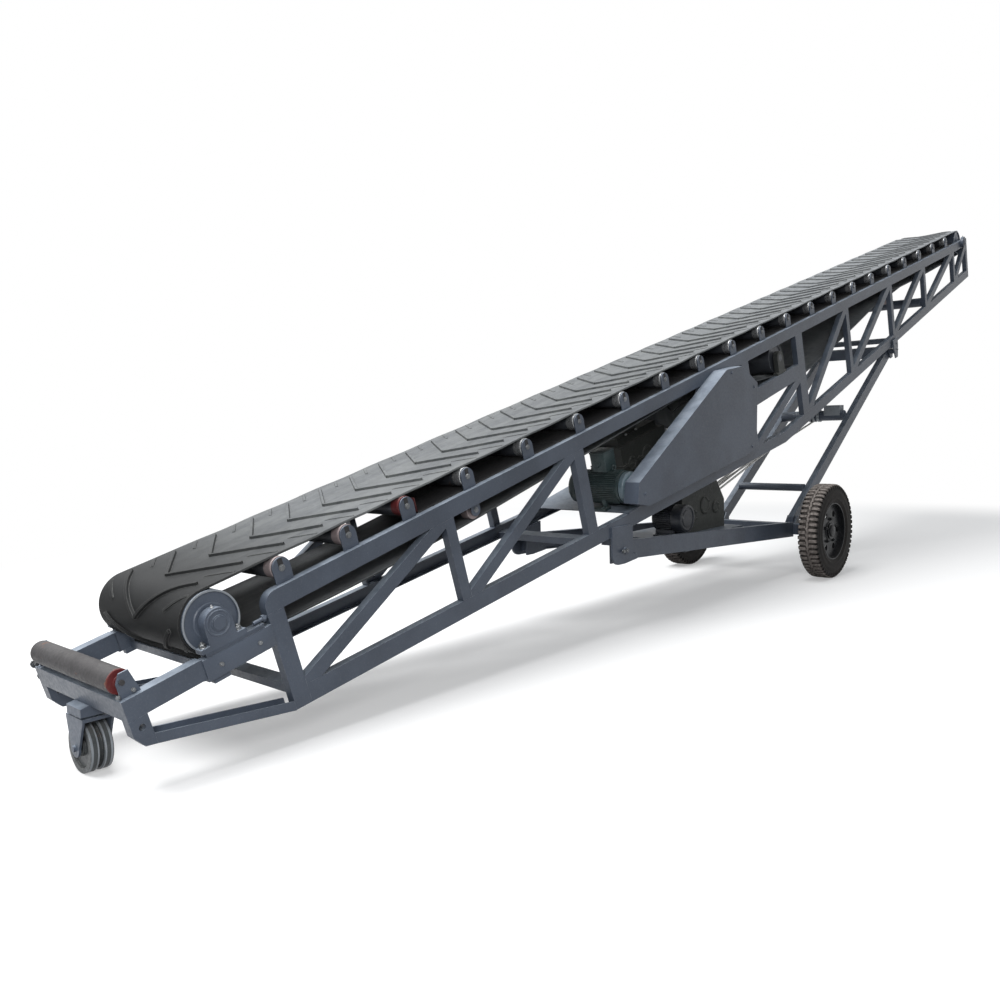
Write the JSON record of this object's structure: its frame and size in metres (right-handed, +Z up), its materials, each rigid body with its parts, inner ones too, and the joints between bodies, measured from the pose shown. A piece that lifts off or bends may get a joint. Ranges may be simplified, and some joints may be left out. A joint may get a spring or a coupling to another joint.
{
  "type": "mobile belt conveyor",
  "caption": "Inclined lattice boom with an endless chevron-cleated belt on flat idlers, drive and bend drums, winch-raised undercarriage on road wheels and a tail caster.",
  "frame": {"origin": "On the floor under the middle of the bounding box.", "axes": "+X along the boom toward the raised head, +Y to the left when looking up the belt, +Z up."},
  "size_m": [9.967, 1.353, 3.2356],
  "materials": {
    "frame_paint": "satin slate blue-grey enamel with light dust",
    "belt_rubber": "worn grey-black rubber, moulded cleats",
    "roller_steel": "dull rolled steel, light rust",
    "dark_cast": "painted cast iron, oily",
    "motor_green": "dark grey-green enamel",
    "rim_black": "black enamel",
    "tyre_rubber": "dusty tyre rubber",
    "caster_steel": "worn grey enamel",
    "worn_steel": "worn bare steel with red paint at the ends"
  },
  "bodies": {
    "boom": {"belt": "belt_rubber", "bend_drums": "roller_steel", "bottom_chords_head": "frame_paint", "bottom_chords_tail": "frame_paint", "caster_box": "frame_paint", "corner_posts": "frame_paint", "cross_ties": "frame_paint", "drive_drum": "roller_steel", "drive_guard": "frame_paint", "drive_motor": "motor_green", "drive_subbeams": "frame_paint", "end_posts": "frame_paint", "gearbox": "dark_cast", "head_bearings": "frame_paint", "head_drum": "frame_paint", "hinge_ears": "frame_paint", "idler_rollers": "roller_steel", "idler_stands": "frame_paint", "inner_bearings": "dark_cast", "loading_stands": "frame_paint", "motor_plate": "frame_paint", "return_rollers": "roller_steel", "return_stands": "frame_paint", "tail_arms": "frame_paint", "tail_beam": "frame_paint", "tail_bearings": "frame_paint", "tail_braces": "frame_paint", "tail_drum": "frame_paint", "tail_scraper": "frame_paint", "takeup_housings": "frame_paint", "top_chords": "frame_paint", "web_diagonals": "frame_paint", "web_verticals": "frame_paint"},
    "undercarriage": {"legs": "frame_paint", "leg_ties": "frame_paint", "axle": "frame_paint", "winch_plate": "frame_paint", "winch_motor": "motor_green", "winch_gearbox": "dark_cast", "rope_drum": "dark_cast", "rope_stands": "frame_paint"},
    "strut_frame": {"struts": "frame_paint", "strut_bars": "frame_paint", "rope_block": "dark_cast"},
    "slider_carriage": {"slider": "frame_paint"},
    "wheel_near": {"tyre_near": "tyre_rubber", "rim_near": "rim_black"},
    "wheel_far": {"tyre_far": "tyre_rubber", "rim_far": "rim_black"},
    "caster_swivel": {"caster_fork": "frame_paint"},
    "caster_roll": {"caster_wheel": "caster_steel"},
    "loading_spin": {"loading_roller": "worn_steel"}
  },
  "joints": [
    {"name": "undercarriage_fold", "type": "hinge", "parent": "boom", "child": "undercarriage", "pos_m": [-2.01287, 0, 0.484], "axis": [0, 1, 0], "range_deg": [-4, 10]},
    {"name": "strut_swing", "type": "hinge", "parent": "undercarriage", "child": "strut_frame", "pos_m": [0.43313, 0, 0.413], "axis": [0, 1, 0], "range_deg": [-19.7, 8.18]},
    {"name": "carriage_turn", "type": "hinge", "parent": "strut_frame", "child": "slider_carriage", "pos_m": [2.53762, 0, 1.81242], "axis": [0, 1, 0], "range_deg": [-4.18, 9.7]},
    {"name": "wheel_near_spin", "type": "hinge", "parent": "undercarriage", "child": "wheel_near", "pos_m": [0.34713, -0.603, 0.356], "axis": [0, 1, 0], "continuous": true},
    {"name": "wheel_far_spin", "type": "hinge", "parent": "undercarriage", "child": "wheel_far", "pos_m": [0.34713, 0.603, 0.356], "axis": [0, 1, 0], "continuous": true},
    {"name": "caster_turn", "type": "hinge", "parent": "boom", "child": "caster_swivel", "pos_m": [-4.91587, 0, 0.217], "axis": [0, 0, 1], "continuous": true},
    {"name": "caster_spin", "type": "hinge", "parent": "caster_swivel", "child": "caster_roll", "pos_m": [-4.90387, 0.021, 0.097], "axis": [1, 0, 0], "continuous": true},
    {"name": "loading_roller_spin", "type": "hinge", "parent": "boom", "child": "loading_spin", "pos_m": [-4.93901, 0, 0.40268], "axis": [0, 1, 0], "continuous": true}
  ],
  "couplings": [
    {"joint": "strut_swing", "follows": "undercarriage_fold", "ratio": -1.92},
    {"joint": "carriage_turn", "follows": "undercarriage_fold", "ratio": 0.92}
  ]
}
